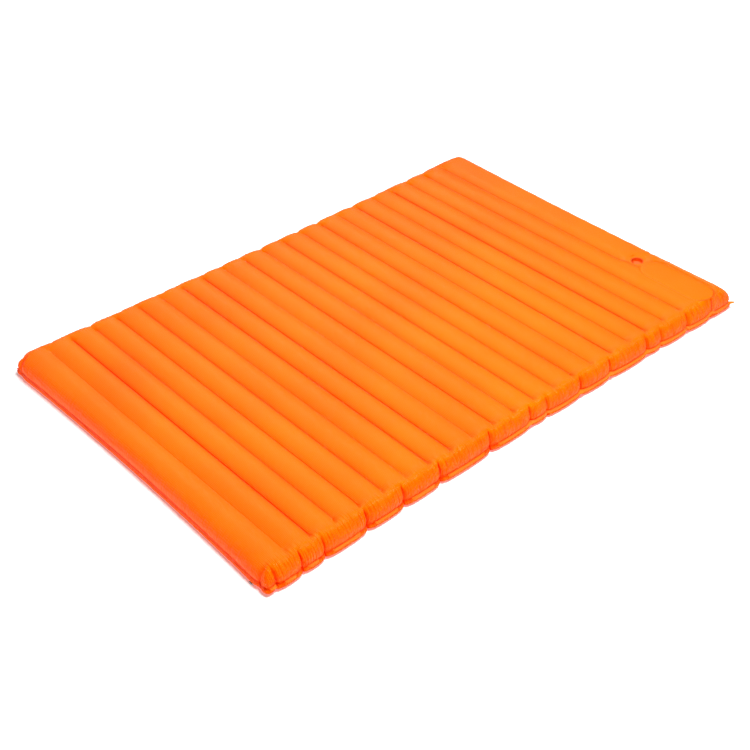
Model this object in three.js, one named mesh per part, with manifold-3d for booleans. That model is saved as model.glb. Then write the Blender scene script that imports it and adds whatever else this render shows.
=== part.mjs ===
// An inflatable double sleeping pad: two welded fabric skins held apart by upright webs, which
// shape them into tubes across the pad, a foam foot pump let into one corner, and a flat valve
// under the opposite end.
//
// Frame: millimetres, +Z up, origin on the ground under the middle of the pad. +X runs along the
// length towards the pump, +Y across the width.

import * as THREE from "three";
import { mergeVertices } from "three/addons/utils/BufferGeometryUtils.js";
import Module from "manifold-3d";

const wasm = await Module();
wasm.setup();

// Overall size of the inflated pad.
const LENGTH = 1950;
const WIDTH = 1300;
const HEIGHT = 80;

// Fabric, weld margin and the clearance kept between pieces that touch.
const SKIN = 0.8;
const MARGIN = 6;
const GAP = 0.3;
const SEAM_Z = 37;

// The edges draw in towards their middles, so the corners stand out.
const END_BOW = 15;
const SIDE_BOW = 18;

// Tubes and the creases between them, where the webs are welded.
const PITCH = 85.15;
const CREASES = 21;
const FIRST_CREASE_X = -867.5;
const TOP_CREASE_DROP = 14;
const UNDER_CREASE_RISE = 10;
const SIDE_ROUND = 44;
const STRAIGHT_Y = WIDTH / 2 - MARGIN - SIDE_ROUND;

// Webs: each stops short of the tubes' rounded ends, so that air passes round it.
const WEB = 1;
const WEB_HALF_LENGTH = 575;
const WEB_END_CUT = 14;
const SHORT_WEB_END_Y = -285;

// Foot pump: a stadium-shaped panel in the top skin, a foam block and the tray that holds it.
const PUMP_X = 866;
const PUMP_Y = [-625, -349];
const PUMP_HALF_WIDTH = 50;
const PANEL_TOP_Z = 78;
const PANEL_CLEARANCE = 0.8;
const EDGE_ROUND = { height: 4, width: 10 };
const TRAY_FLOOR_Z = 18;
const TRAY_END_Y = -290;
const TRAY_CLEARANCE = 1.5;

// Intake valve in a recess beside the pump.
const INTAKE = { x: PUMP_X, y: -320, radius: 22, rimZ: 75, floorZ: 62, floor: 2, bore: 8, neck: 2 };
const INTAKE_CAP = { radius: 11, thick: 2.7, plug: 7.2, plugDepth: 3 };

// Outlet valve through the tray's wall, from the pump into the pad.
const OUTLET = { y: -420, z: 42, flange: 15, thick: 1.5, tube: 10.5, bore: 8, tubeLength: 2.8 };

// Main valve, under the end tube farthest from the pump.
const VALVE = { x: -935, y: -570, faceZ: 9, radius: 24, wall: 2, bore: 12.5, plate: 2 };
const COLLAR = { radius: 15.5, thick: 2.2, mouth: 6.5, plug: 11.5, plugBore: 9, depth: 4, seat: 1, seatBore: 6 };
const CAP = { radius: 10.5, thick: 2.8, plug: 5.9, plugDepth: 4.3, tabWidth: 11, tabReach: 33, tabThick: 1.8 };

// Hinges: reach is the hinge line's distance from the valve's axis, height its distance from the
// seat's face. The pin is part of the seat's ears, and the knuckle part of the lid or flap.
const LID_HINGE = { pin: 0.9, knuckle: 2, width: 8, ear: 2 };
const CAP_HINGE = { pin: 0.7, knuckle: 1.6, width: 6, ear: 1.5 };
const FLAP_HINGE = { pin: 0.5, knuckle: 1.1, width: 6, ear: 1.4 };
const PIN_PLAY = 0.35;
const SIDE_PLAY = 0.4;
const FLAP = 0.8;

const ORANGE = "#ff7a0a";
const DARK_ORANGE = "#f2660a";
const GREY = "#4c4750";

// ---------------------------------------------------------------------------------------------
// Solids and meshes

function solid(geometry) {
  const bare = geometry.clone();
  bare.deleteAttribute("normal");
  bare.deleteAttribute("uv");
  const merged = mergeVertices(bare, 1e-4);
  return new wasm.Manifold(
    new wasm.Mesh({
      numProp: 3,
      vertProperties: merged.attributes.position.array,
      triVerts: new Uint32Array(merged.index.array),
    }),
  );
}

function geometryOf(body) {
  const mesh = body.getMesh();
  const geometry = new THREE.BufferGeometry();
  geometry.setAttribute("position", new THREE.BufferAttribute(mesh.vertProperties, 3));
  geometry.setIndex(new THREE.BufferAttribute(mesh.triVerts, 1));
  geometry.computeVertexNormals();
  return geometry;
}

function named(name, shape, color, roughness) {
  const geometry = shape.isBufferGeometry ? shape : geometryOf(shape);
  const material = new THREE.MeshStandardMaterial({ color, roughness, metalness: 0 });
  const mesh = new THREE.Mesh(geometry, material);
  mesh.name = name;
  return mesh;
}

const fabric = (name, shape) => named(name, shape, ORANGE, 0.55);
const innerFabric = (name, shape) => named(name, shape, DARK_ORANGE, 0.7);
const plastic = (name, shape) => named(name, shape, GREY, 0.5);
const foam = (name, shape) => named(name, shape, "#e9e2cf", 0.95);

function placedGroup(x, y, z, ...meshes) {
  const group = new THREE.Group();
  group.position.set(x, y, z);
  group.add(...meshes);
  return group;
}

const disc = (radius, low, high, sides = 24) => ring(0, radius, low, high, sides);

// A flat ring, or a disc where the inner radius is 0, about the Z axis.
function ring(inner, outer, low, high, sides = 24) {
  const profile = [
    new THREE.Vector2(inner, low),
    new THREE.Vector2(outer, low),
    new THREE.Vector2(outer, high),
    new THREE.Vector2(inner, high),
  ];
  if (inner > 0) profile.push(profile[0]);
  return solid(new THREE.LatheGeometry(profile, sides).rotateX(Math.PI / 2));
}

function block(width, depth, height, x, y, z) {
  return solid(new THREE.BoxGeometry(width, depth, height).translate(x, y, z));
}

function rod(radius, length, y, z, sides = 12) {
  const geometry = new THREE.CylinderGeometry(radius, radius, length, sides);
  return solid(geometry.rotateZ(Math.PI / 2).translate(0, y, z));
}

// ---------------------------------------------------------------------------------------------
// Skins

// A closed solid between two surfaces that are given on the same grid of columns and rows.
function between(columns, rows, upper, lower) {
  const points = [];
  for (const surface of [upper, lower])
    for (const column of columns) for (const row of rows) points.push(surface(column, row));
  const layer = columns.length * rows.length;
  const at = (i, j, side) => side * layer + i * rows.length + j;
  const index = [];
  const quad = (a, b, c, d) => index.push(a, b, c, a, c, d);
  const lastColumn = columns.length - 1;
  const lastRow = rows.length - 1;
  for (let i = 0; i < lastColumn; i++)
    for (let j = 0; j < lastRow; j++) {
      quad(at(i, j, 0), at(i + 1, j, 0), at(i + 1, j + 1, 0), at(i, j + 1, 0));
      quad(at(i, j, 1), at(i, j + 1, 1), at(i + 1, j + 1, 1), at(i + 1, j, 1));
    }
  for (let i = 0; i < lastColumn; i++) {
    quad(at(i, 0, 1), at(i + 1, 0, 1), at(i + 1, 0, 0), at(i, 0, 0));
    quad(at(i, lastRow, 0), at(i + 1, lastRow, 0), at(i + 1, lastRow, 1), at(i, lastRow, 1));
  }
  for (let j = 0; j < lastRow; j++) {
    quad(at(0, j, 0), at(0, j + 1, 0), at(0, j + 1, 1), at(0, j, 1));
    quad(at(lastColumn, j, 1), at(lastColumn, j + 1, 1), at(lastColumn, j + 1, 0), at(lastColumn, j, 0));
  }
  const geometry = new THREE.BufferGeometry().setFromPoints(points);
  geometry.setIndex(index);
  return geometry;
}

const creaseX = (i) => FIRST_CREASE_X + i * PITCH;

// Angles through which an edge turns from level, at 0, to upright at the seam.
const EDGE_TURN = [0, 30, 60, 90].map(THREE.MathUtils.degToRad);

// A column is a line of the grid across the pad. Its own height is a share of the skin's depth,
// 1 at a tube's crest. Columns past the last crest turn down to the seam, and one more runs out
// over the weld margin.
function columnsWith(fractions, shareAt) {
  const columns = [];
  const inner = (x, fraction, crease) => columns.push({ x, turn: 0, share: shareAt(fraction), crease });
  const outer = (end) => {
    const crest = end < 0 ? creaseX(0) - PITCH / 2 : creaseX(CREASES - 1) + PITCH / 2;
    const turned = EDGE_TURN.map((turn) => ({ x: crest, turn, end, share: 1 }));
    turned.push({ ...turned.at(-1), margin: MARGIN });
    return turned;
  };
  columns.push(...outer(-1).reverse());
  const last = fractions.at(-1);
  inner(creaseX(0) - PITCH * (1 - last), last, -1);
  for (let i = 0; i < CREASES; i++) {
    inner(creaseX(i), 0, i);
    if (i < CREASES - 1)
      for (const fraction of fractions) inner(creaseX(i) + fraction * PITCH, fraction, fraction < 0.5 ? i : i + 1);
  }
  inner(creaseX(CREASES - 1) + PITCH * fractions[0], fractions[0], CREASES - 1);
  columns.push(...outer(1));
  return columns;
}

function rowsWith(innerRows) {
  const side = (end) => {
    const turned = EDGE_TURN.map((turn) => {
      const alongY = (STRAIGHT_Y + (WIDTH / 2 - STRAIGHT_Y) * Math.sin(turn)) / (WIDTH / 2);
      return { turn, end, alongY };
    });
    turned.push({ ...turned.at(-1), margin: MARGIN });
    return turned;
  };
  const straight = innerRows.map((y) => ({ y, turn: 0, alongY: y / (WIDTH / 2) }));
  return [...side(-1).reverse(), ...straight, ...side(1)];
}

// Where a column and a row meet in plan. The inner face of a skin lies one thickness inside it.
function planPoint(column, row, inset) {
  const foot = LENGTH / 2 - MARGIN - END_BOW * (1 - row.alongY ** 2) - inset;
  let x = column.x;
  if (column.turn) x += (column.end * foot - column.x) * Math.sin(column.turn);
  if (column.margin) x += column.end * (column.margin + inset);
  const alongX = x / (LENGTH / 2);
  const sideFoot = WIDTH / 2 - MARGIN - SIDE_BOW * (1 - alongX ** 2) - inset;
  let y = row.end ? row.end * STRAIGHT_Y : row.y;
  if (row.turn) y += (row.end * sideFoot - y) * Math.sin(row.turn);
  if (row.margin) y += row.end * (row.margin + inset);
  return { x, y };
}

// How much of its depth a crease keeps at a row: the last one fades out beside the pump.
function creaseKept(column, row) {
  const besidePump = column.crease === CREASES - 1 && !(row.end > 0) && !(row.y > PUMP_Y[1]);
  return besidePump ? 0.04 : 1;
}

function topSurface(inset) {
  return (column, row) => {
    const { x, y } = planPoint(column, row, inset);
    const seam = SEAM_Z + GAP / 2 + SKIN;
    const crown = HEIGHT - TOP_CREASE_DROP * (1 - column.share) * creaseKept(column, row);
    const z = seam + (crown - seam) * Math.cos(column.turn) * Math.cos(row.turn) - inset;
    return new THREE.Vector3(x, y, z);
  };
}

function underSurface(inset) {
  return (column, row) => {
    const { x, y } = planPoint(column, row, inset);
    const seam = SEAM_Z - GAP / 2 - SKIN;
    const low = UNDER_CREASE_RISE * (1 - column.share);
    const z = seam + (low - seam) * Math.cos(column.turn) * Math.cos(row.turn) + inset;
    return new THREE.Vector3(x, y, z);
  };
}

const topColumns = columnsWith([0.25, 0.5, 0.75], (f) => 1 - (1 - 2 * f) ** 2);
const topRows = rowsWith([PUMP_Y[1], TRAY_END_Y]);
const underColumns = columnsWith([1 / 3, 2 / 3], (f) => (f ? 1 : 0));
const underRows = rowsWith([]);

// Everything below the top skin's inner face, less the clearance.
function spaceUnderTopSkin() {
  const roof = topSurface(SKIN);
  const lowered = (column, row) => roof(column, row).add(new THREE.Vector3(0, 0, -GAP));
  const ground = (column, row) => roof(column, row).setZ(0);
  return solid(between(topColumns, topRows, lowered, ground));
}

// ---------------------------------------------------------------------------------------------
// Stadium outlines of the pump

function stadium(halfWidth, lowY, highY) {
  const shape = new THREE.Shape();
  shape.absarc(0, highY - halfWidth, halfWidth, 0, Math.PI);
  shape.absarc(0, lowY + halfWidth, halfWidth, Math.PI, 2 * Math.PI);
  return shape;
}

// A stadium block whose outline is the pump's, shrunk by inset, with highY for the far end.
function pumpBlock(inset, lowZ, highZ, highY = PUMP_Y[1], round = null) {
  const shape = stadium(PUMP_HALF_WIDTH - inset, PUMP_Y[0] + inset, highY - inset);
  const rim = round ? round.height : 0;
  const options = { depth: highZ - lowZ - 2 * rim, curveSegments: 9, bevelEnabled: rim > 0 };
  if (round) {
    options.bevelThickness = round.height;
    options.bevelSize = round.width;
    options.bevelOffset = -round.width;
    options.bevelSegments = 2;
  }
  return solid(new THREE.ExtrudeGeometry(shape, options).translate(PUMP_X, 0, lowZ + rim));
}

// ---------------------------------------------------------------------------------------------
// Hinges, drawn about a valve whose axis is Z and whose seat is the plane Z = face

const hingeHeight = (size) => size.knuckle + GAP;

// The seat's two ears and the pin between them. reach is positive or negative along Y.
function addEars(seat, size, reach, face) {
  const z = face + hingeHeight(size);
  const halfSpan = size.width / 2 + SIDE_PLAY + size.ear;
  const earDepth = 2 * size.pin + 1.2;
  const earTop = z + earDepth / 2;
  let made = seat.add(rod(size.pin, 2 * halfSpan, reach, z));
  for (const side of [-1, 1]) {
    const x = side * (halfSpan - size.ear / 2);
    const height = earTop - face + 0.5;
    made = made.add(block(size.ear, earDepth, height, x, reach, earTop - height / 2));
  }
  return made;
}

// The lid's knuckle round the pin, and the arm that joins it to the lid.
function addKnuckle(lid, size, reach, face, armThick, lidEdge) {
  const z = face + hingeHeight(size);
  const armLength = Math.abs(reach) - lidEdge + 1;
  const armY = Math.sign(reach) * (Math.abs(reach) - armLength / 2);
  const arm = block(size.width, armLength, armThick, 0, armY, face + GAP + armThick / 2);
  const barrel = rod(size.knuckle, size.width, reach, z);
  const hole = rod(size.pin + PIN_PLAY, size.width + 2, reach, z);
  return lid.add(arm).add(barrel).subtract(hole);
}

function flapOn(face, radius, reach) {
  const plate = disc(radius, face + GAP, face + GAP + FLAP);
  return addKnuckle(plate, FLAP_HINGE, reach, face, FLAP, radius);
}

// The same solid turned over about X, so that what faced up faces down.
const turnedOver = (body) => body.rotate([180, 0, 0]);

// ---------------------------------------------------------------------------------------------
// Sub-parts

function topSkin() {
  const sheet = solid(between(topColumns, topRows, topSurface(0), topSurface(SKIN)));
  const pumpHole = pumpBlock(0, SEAM_Z + 10, HEIGHT + 10);
  const intakeHole = disc(INTAKE.radius + GAP, SEAM_Z + 10, HEIGHT + 10).translate([INTAKE.x, INTAKE.y, 0]);
  return fabric("top_skin", sheet.subtract(pumpHole).subtract(intakeHole));
}

function bottomSkin() {
  const sheet = solid(between(underColumns, underRows, underSurface(SKIN), underSurface(0)));
  const valveHole = disc(VALVE.radius + GAP, -10, SEAM_Z - 5).translate([VALVE.x, VALVE.y, 0]);
  return fabric("bottom_skin", sheet.subtract(valveHole));
}

// One upright web, whose two ends are cut back in a curve.
function web(i) {
  const low = UNDER_CREASE_RISE + SKIN + GAP;
  const high = HEIGHT - TOP_CREASE_DROP - SKIN - GAP;
  const middle = (low + high) / 2;
  const lowY = i === CREASES - 1 ? SHORT_WEB_END_Y : -WEB_HALF_LENGTH;
  const highY = WEB_HALF_LENGTH;
  const shape = new THREE.Shape();
  shape.moveTo(lowY, low);
  shape.lineTo(highY, low);
  shape.quadraticCurveTo(highY - 2 * WEB_END_CUT, middle, highY, high);
  shape.lineTo(lowY, high);
  shape.quadraticCurveTo(lowY + 2 * WEB_END_CUT, middle, lowY, low);
  const geometry = new THREE.ExtrudeGeometry(shape, { depth: WEB, bevelEnabled: false, curveSegments: 5 });
  geometry.rotateX(Math.PI / 2).rotateZ(Math.PI / 2);
  const number = String(i + 1).padStart(2, "0");
  const mesh = innerFabric("web_" + number, geometry);
  mesh.position.x = creaseX(i) - WEB / 2;
  return mesh;
}

function pumpPanel() {
  const under = PANEL_TOP_Z - 30;
  const outer = pumpBlock(PANEL_CLEARANCE, under, PANEL_TOP_Z, PUMP_Y[1], EDGE_ROUND);
  return fabric("pump_panel", outer.subtract(outer.translate([0, 0, -SKIN])));
}

function pumpFoam() {
  const top = PANEL_TOP_Z - SKIN - GAP;
  return foam("pump_foam", pumpBlock(PANEL_CLEARANCE, TRAY_FLOOR_Z + SKIN + GAP, top, PUMP_Y[1], EDGE_ROUND));
}

function pumpTray() {
  const inside = pumpBlock(-TRAY_CLEARANCE, TRAY_FLOOR_Z + SKIN, HEIGHT, TRAY_END_Y);
  const outside = pumpBlock(-TRAY_CLEARANCE - SKIN, TRAY_FLOOR_Z, HEIGHT, TRAY_END_Y);
  const hole = disc(OUTLET.tube + GAP, -10, 10).rotate([0, -90, 0]).translate([trayWallX(), OUTLET.y, OUTLET.z]);
  const tray = outside.subtract(inside).intersect(spaceUnderTopSkin());
  return innerFabric("pump_tray", tray.subtract(hole));
}

const trayWallX = () => PUMP_X - PUMP_HALF_WIDTH - TRAY_CLEARANCE - SKIN;

function intakeValve() {
  const seatFace = INTAKE.floorZ + INTAKE.neck;
  const underFace = INTAKE.floorZ - INTAKE.floor;
  const capReach = INTAKE_CAP.radius + 3.5;
  const flapReach = INTAKE.bore + 5.5;
  let cup = ring(INTAKE.bore, INTAKE.radius, underFace, INTAKE.floorZ);
  cup = cup.add(ring(INTAKE.radius - 2, INTAKE.radius, underFace, INTAKE.rimZ));
  cup = cup.add(ring(INTAKE.bore, INTAKE.bore + 2, underFace, seatFace));
  cup = addEars(cup, CAP_HINGE, capReach, seatFace);
  for (const side of [-1, 1]) {
    const x = side * (CAP_HINGE.width / 2 + SIDE_PLAY + CAP_HINGE.ear / 2);
    cup = cup.add(block(CAP_HINGE.ear, 2.6, INTAKE.neck + 2, x, capReach, seatFace - INTAKE.neck / 2));
  }
  cup = turnedOver(addEars(turnedOver(cup), FLAP_HINGE, -flapReach, -underFace));

  let cap = disc(INTAKE_CAP.radius, seatFace + GAP, seatFace + GAP + INTAKE_CAP.thick);
  cap = cap.add(disc(INTAKE_CAP.plug, seatFace - INTAKE_CAP.plugDepth, seatFace + 1));
  cap = cap.add(block(9, 6, 1.6, 0, -INTAKE_CAP.radius - 1.5, seatFace + INTAKE_CAP.thick - 0.5));
  cap = addKnuckle(cap, CAP_HINGE, capReach, seatFace, INTAKE_CAP.thick, INTAKE_CAP.radius);

  const flap = turnedOver(flapOn(-underFace, INTAKE.bore + 2.5, -flapReach));
  return placedGroup(
    INTAKE.x,
    INTAKE.y,
    0,
    plastic("pump_intake_seat", cup),
    plastic("pump_intake_cap", cap),
    plastic("pump_intake_flap", flap),
  );
}

function outletValve() {
  const reach = OUTLET.bore + 5;
  let seat = ring(OUTLET.bore, OUTLET.flange, -OUTLET.thick, 0);
  seat = seat.add(ring(OUTLET.bore, OUTLET.tube, -OUTLET.thick - OUTLET.tubeLength, 0));
  seat = addEars(seat, FLAP_HINGE, reach, 0);
  const flap = flapOn(0, OUTLET.bore + 2, reach);
  const faceX = trayWallX() - GAP - OUTLET.thick;
  const group = placedGroup(
    faceX,
    OUTLET.y,
    OUTLET.z,
    plastic("pump_outlet_seat", seat),
    plastic("pump_outlet_flap", flap),
  );
  // Local Z points out of the pump, along -X, and local Y points up.
  const basis = new THREE.Matrix4().makeBasis(
    new THREE.Vector3(0, -1, 0),
    new THREE.Vector3(0, 0, 1),
    new THREE.Vector3(-1, 0, 0),
  );
  group.quaternion.setFromRotationMatrix(basis);
  return group;
}

// Drawn with its mouth up and turned over into place, so local Z points down out of the pad.
function mainValve() {
  const collarReach = -(COLLAR.radius + 3);
  const capReach = CAP.radius + 2.5;
  const flapReach = COLLAR.seatBore + 3.3;
  const collarTop = GAP + COLLAR.thick;
  const seatInner = -COLLAR.depth;

  let base = ring(VALVE.bore, VALVE.radius, -VALVE.plate, 0, 32);
  base = base.add(ring(VALVE.radius - VALVE.wall, VALVE.radius, -7, 3, 32));
  base = addEars(base, LID_HINGE, collarReach, 0);

  let collar = ring(COLLAR.mouth, COLLAR.radius, GAP, collarTop);
  collar = collar.add(ring(COLLAR.plugBore, COLLAR.plug, seatInner, GAP + 1));
  collar = collar.add(ring(COLLAR.seatBore, COLLAR.plug, seatInner, seatInner + COLLAR.seat));
  collar = addKnuckle(collar, LID_HINGE, collarReach, 0, COLLAR.thick, COLLAR.radius);
  collar = addEars(collar, CAP_HINGE, capReach, collarTop);
  collar = turnedOver(addEars(turnedOver(collar), FLAP_HINGE, flapReach, -seatInner));

  const capLow = collarTop + GAP;
  let cap = disc(CAP.radius, capLow, capLow + CAP.thick);
  cap = cap.add(disc(CAP.plug, capLow - CAP.plugDepth, capLow + 1));
  const tabZ = capLow + CAP.thick - CAP.tabThick / 2;
  cap = cap.add(block(CAP.tabReach, CAP.tabWidth, CAP.tabThick, -CAP.tabReach / 2, 0, tabZ));
  cap = addKnuckle(cap, CAP_HINGE, capReach, collarTop, CAP.thick, CAP.radius);

  const flap = turnedOver(flapOn(-seatInner, COLLAR.seatBore + 2, flapReach));
  const group = placedGroup(
    VALVE.x,
    VALVE.y,
    VALVE.faceZ,
    plastic("valve_base", base),
    plastic("valve_collar", collar),
    plastic("valve_cap", cap),
    plastic("valve_flap", flap),
  );
  group.rotation.x = Math.PI;
  return group;
}

const pad = new THREE.Group();
pad.add(topSkin(), bottomSkin());
for (let i = 0; i < CREASES; i++) pad.add(web(i));
pad.add(pumpPanel(), pumpFoam(), pumpTray());
pad.add(intakeValve(), outletValve(), mainValve());

export default pad;
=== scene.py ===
import math

import bmesh
import bpy
import numpy as np
from bpy.props import FloatProperty, FloatVectorProperty, IntProperty, PointerProperty, StringProperty
from mathutils import Matrix, Vector


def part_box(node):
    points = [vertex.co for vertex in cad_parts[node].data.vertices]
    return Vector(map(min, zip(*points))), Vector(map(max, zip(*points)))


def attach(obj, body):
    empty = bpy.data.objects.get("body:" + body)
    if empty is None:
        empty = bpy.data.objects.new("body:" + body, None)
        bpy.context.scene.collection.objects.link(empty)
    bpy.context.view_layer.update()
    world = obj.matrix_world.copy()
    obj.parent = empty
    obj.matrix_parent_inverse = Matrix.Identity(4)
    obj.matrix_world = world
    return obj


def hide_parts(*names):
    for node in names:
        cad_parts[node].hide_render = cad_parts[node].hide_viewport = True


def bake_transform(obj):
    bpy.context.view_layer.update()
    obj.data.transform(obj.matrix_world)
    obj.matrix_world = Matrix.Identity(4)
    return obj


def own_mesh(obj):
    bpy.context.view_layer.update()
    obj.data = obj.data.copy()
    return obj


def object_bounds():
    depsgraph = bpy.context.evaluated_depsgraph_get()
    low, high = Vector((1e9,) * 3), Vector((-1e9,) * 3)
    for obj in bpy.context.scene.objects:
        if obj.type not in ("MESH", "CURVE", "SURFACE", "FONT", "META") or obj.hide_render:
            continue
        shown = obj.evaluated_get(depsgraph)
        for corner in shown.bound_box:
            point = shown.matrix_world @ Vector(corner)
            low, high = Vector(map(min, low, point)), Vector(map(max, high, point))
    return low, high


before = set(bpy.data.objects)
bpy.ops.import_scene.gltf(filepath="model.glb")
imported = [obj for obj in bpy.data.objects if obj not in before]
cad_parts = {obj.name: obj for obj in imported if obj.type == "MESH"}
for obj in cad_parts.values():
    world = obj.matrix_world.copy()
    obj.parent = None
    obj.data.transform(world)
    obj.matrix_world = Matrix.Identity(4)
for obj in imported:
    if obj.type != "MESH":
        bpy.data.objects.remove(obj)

CAD_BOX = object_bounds()

bl_info = {
    "name": "Inflatable Sleeping Pad",
    "version": (1, 0, 0),
    "blender": (4, 5, 0),
    "location": "3D View > Sidebar > Sleeping Pad",
    "description": "Builds a double air pad with a foot pump and a flat valve round its CAD frame",
    "category": "Add Mesh",
}

MM = 0.001
# What the operators hand on to each other: the seam's points.
STATE = {}


def size_mm(name, description, default):
    """A length property whose default is given in millimetres."""
    return FloatProperty(name=name, description=description, default=default * MM, unit="LENGTH", precision=4)


def hex_colour(name, description, default):
    """A colour property kept as sRGB hex."""
    return StringProperty(name=name, description=description, default=default)


class PadSizes(bpy.types.PropertyGroup):
    """Sizes of the inflated fabric."""

    margin: size_mm("Weld margin", "Width of the welded edge outside the seam", 6)
    fabric: size_mm("Fabric", "Thickness of the two welded layers together", 0.9)
    end_bow: size_mm("End bow", "How far the short edges draw in at their middles", 15)
    side_bow: size_mm("Side bow", "How far the long edges draw in at their middles", 18)
    pitch: size_mm("Tube pitch", "Distance from crease to crease", 85.15)
    first_crease: size_mm("First crease", "X of the crease farthest from the pump", -867.5)
    creases: IntProperty(name="Creases", description="Number of weld lines across the pad", default=21)
    crease_depth: size_mm("Crease depth", "Drop from a tube's crest to the weld line beside it", 14.2)
    under_depth: size_mm("Under crease", "Rise of the weld lines on the underside", 9.5)
    web_end: size_mm("Web end", "Distance of the webs' ends from the pad's middle line", 578)
    side_round: size_mm("Side round", "Length over which the tubes' ends turn down to the seam", 44)
    pinch: size_mm("Pinch", "Depth of the puckers where the seam gathers", 9)
    lobe: size_mm("Lobe", "How far the seam swells between puckers", 4.5)
    seam_draw: size_mm("Seam draw", "How far the seam sits behind the bulges above and below it", 2.5)
    swell: size_mm("Swell", "How far the upper bulge stands out past the seam", 2.5)
    under_swell: size_mm("Under swell", "How far the lower bulge stands out past the seam", 5)
    far_crest: size_mm("Far crest", "X at which the pump end begins to turn down", 922)
    corner: FloatProperty(name="Corner", description="Rounding of the outline's corners", default=0.55)


class PadColours(bpy.types.PropertyGroup):
    """Colours of the materials, as sRGB hex."""

    fabric: hex_colour("Fabric", "Lit face of the coated taffeta", "FF6C00")
    fabric_deep: hex_colour("Fabric deep", "Threads and hollows of the taffeta", "FF5A00")
    margin: hex_colour("Weld margin", "Flattened, paler welded edge", "FF7A30")
    inner: hex_colour("Inner fabric", "Uncoated face of webs and tray", "E8600C")
    # The moulded orange of the intake, darkened with painted shade of the hollow it sits in.
    intake_orange_and_shade: hex_colour("Moulded orange", "Intake seat and cap", "E65400")
    foam: hex_colour("Foam", "Open-cell foam", "E9E2CF")
    grey: hex_colour("Valve grey", "Moulded valve", "6E6763")
    silicone: hex_colour("Silicone", "Flaps", "B9B4AA")


class StageSizes(bpy.types.PropertyGroup):
    """Floor, lights and camera."""

    floor: size_mm("Floor", "Side of the square floor", 40000)
    lens: FloatProperty(name="Lens", description="Focal length on a 36 mm wide sensor", default=64.73)
    eye: FloatVectorProperty(
        name="Eye", description="Where the camera stands", default=(-2.3154, -2.6446, 2.5592), unit="LENGTH"
    )
    aim: FloatVectorProperty(
        name="Aim", description="Point that the camera looks at", default=(-0.1413, -0.1218, 0), unit="LENGTH"
    )
    roll: FloatProperty(
        name="Roll", description="Tilt of the camera about its view", default=-0.0188, unit="ROTATION"
    )


# ------------------------------------------------------------------------------------------------
# Materials


def linear(hex_rgb):
    """An sRGB hex colour as linear RGBA."""
    channels = [int(hex_rgb[i : i + 2], 16) / 255 for i in (0, 2, 4)]
    return [c / 12.92 if c <= 0.04045 else ((c + 0.055) / 1.055) ** 2.4 for c in channels] + [1.0]


def add(tree, kind, settings=(), **inputs):
    """Adds a node. An input that is a socket is linked, and any other value is set on the socket."""
    node = tree.nodes.new(kind)
    for name, value in dict(settings).items():
        setattr(node, name, value)
    for name, value in inputs.items():
        socket = node.inputs[int(name[1:]) if name[1:].isdigit() else name.replace("_", " ")]
        if isinstance(value, bpy.types.NodeSocket):
            tree.links.new(value, socket)
        else:
            socket.default_value = value
    return node


def new_material(name):
    """An empty node material and its tree."""
    material = bpy.data.materials.new(name)
    material.use_nodes = True
    material.node_tree.nodes.clear()
    return material, material.node_tree


def close_material(tree, shader):
    """Links the shader to the output."""
    add(tree, "ShaderNodeOutputMaterial", Surface=shader.outputs[0])


# Colour of the weld lines, which also paints shade into folds, crease valleys and the seam's groove; a
# painted red glow; and the tint of the highlights.
WELD_AND_SHADE_COLOUR = "DC1E00"
PAINTED_GLOW_COLOUR, PAINTED_GLOW_STRENGTH = "FF1400", 0.32
HIGHLIGHT_COLOUR = "FFE000"
# A wave texture repeats every 2 pi / (20 x scale) metres: 4 mm here, for real threads 0.3 mm apart, which
# wouldn't show.
WEAVE = {"Scale": 78.0, "Distortion": 1.2}
# Scales of the ripples' noise along X, Y and Z: 1 / 150 m is about 7 mm across the ripples.
RIPPLES = {"side": (150, 8, 12), "end": (8, 150, 12)}
RIPPLE_HEIGHT = 14.0
FABRIC_BUMP_DEPTH = 0.0013


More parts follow.
